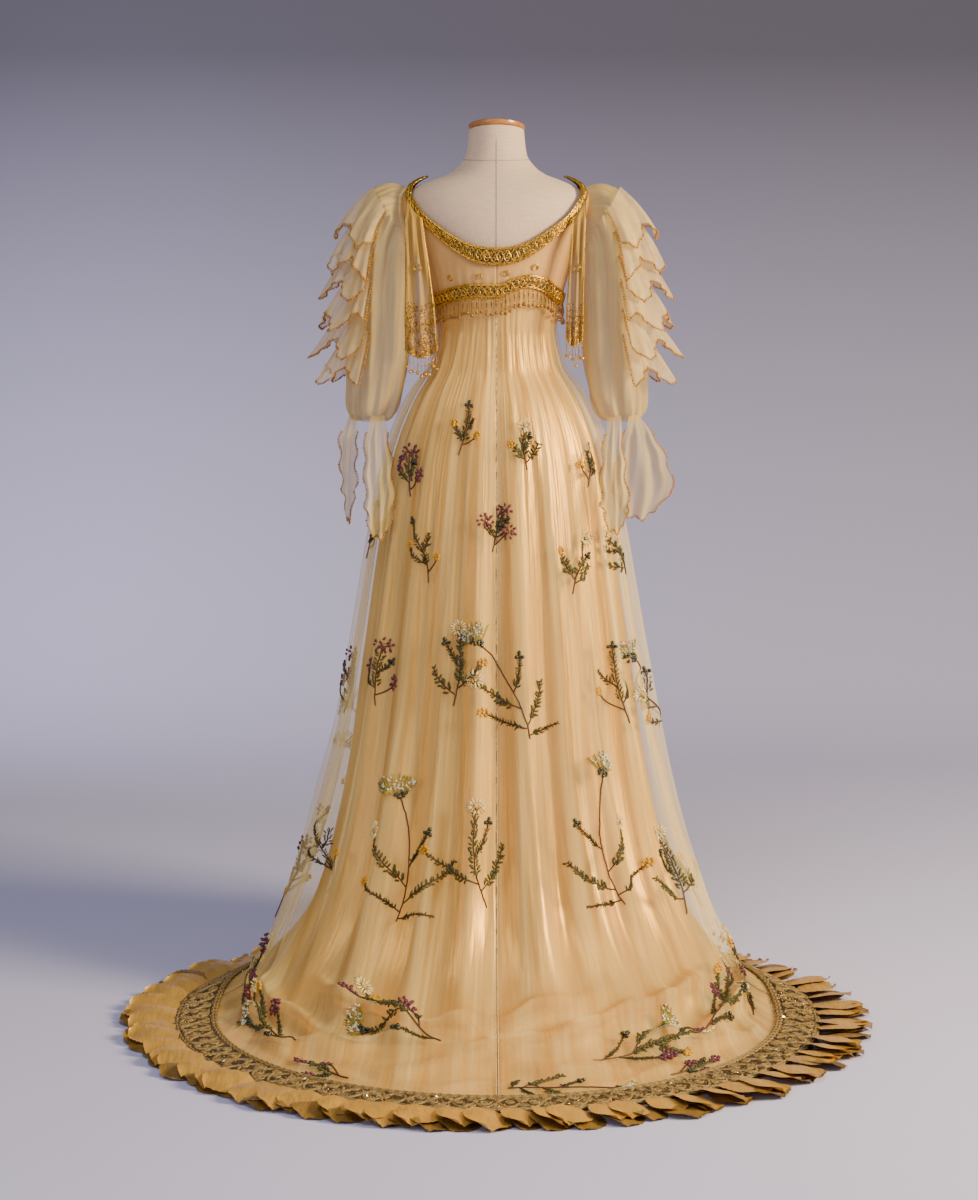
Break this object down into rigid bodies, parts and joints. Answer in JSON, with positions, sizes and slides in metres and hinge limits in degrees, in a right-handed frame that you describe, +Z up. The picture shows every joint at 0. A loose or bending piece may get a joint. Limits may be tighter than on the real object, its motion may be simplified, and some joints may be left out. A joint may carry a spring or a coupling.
{
  "type": "evening dress on dress form",
  "caption": "Long high-waisted evening dress with beaded neckline, puffed flounced sleeves, sheer tulle over satin and a round train edged with petals, on a limbless dress form.",
  "frame": {"origin": "on the floor at the centre of the dress form's round steel foot, under its pole", "axes": "+Z up; the dress's front faces -Y and its train spreads to +Y; +X is the wearer's left"},
  "size_m": [1.2702, 1.3348, 1.5453],
  "materials": {
    "linen": "woven linen, matt",
    "varnished_wood": "varnished",
    "painted_steel": "satin paint",
    "peach_silk": "silk under fine tulle",
    "gold_embroidery": "gold thread and sequins",
    "gold_beads": "gold-lined glass beads",
    "champagne_satin": "silk satin",
    "ivory_tulle": "sheer silk tulle",
    "beaded_hem": "beaded and embroidered",
    "gold_satin": "satin, pinked edges",
    "ivory_chiffon": "sheer silk chiffon",
    "peach_tulle": "sheer tulle, picot edge",
    "embroidered_tulle": "tulle with gold thread"
  },
  "bodies": {
    "root": {"band_fringe": "gold_beads", "bodice_back_left": "peach_silk", "bodice_back_right": "peach_silk", "bodice_front": "peach_silk", "drape_fringe_left": "gold_beads", "drape_fringe_right": "gold_beads", "flounce_left_1": "peach_tulle", "flounce_left_2": "peach_tulle", "flounce_left_3": "peach_tulle", "flounce_left_4": "peach_tulle", "flounce_left_5": "peach_tulle", "flounce_left_6": "peach_tulle", "flounce_right_1": "peach_tulle", "flounce_right_2": "peach_tulle", "flounce_right_3": "peach_tulle", "flounce_right_4": "peach_tulle", "flounce_right_5": "peach_tulle", "flounce_right_6": "peach_tulle", "form_base": "painted_steel", "form_neck_cap": "varnished_wood", "form_pole": "painted_steel", "form_torso": "linen", "hem_band": "beaded_hem", "neckband": "gold_embroidery", "overskirt_back_left": "ivory_tulle", "overskirt_back_right": "ivory_tulle", "overskirt_front": "ivory_tulle", "petals_lower": "gold_satin", "petals_upper": "gold_satin", "shoulder_drape_left": "embroidered_tulle", "shoulder_drape_right": "embroidered_tulle", "sleeve_left": "ivory_chiffon", "sleeve_right": "ivory_chiffon", "tie_left_inner": "ivory_chiffon", "tie_left_outer": "ivory_chiffon", "tie_right_inner": "ivory_chiffon", "tie_right_outer": "ivory_chiffon", "underbust_band": "gold_embroidery", "underskirt_back_left": "champagne_satin", "underskirt_back_right": "champagne_satin", "underskirt_front": "champagne_satin"}
  },
  "joints": []
}
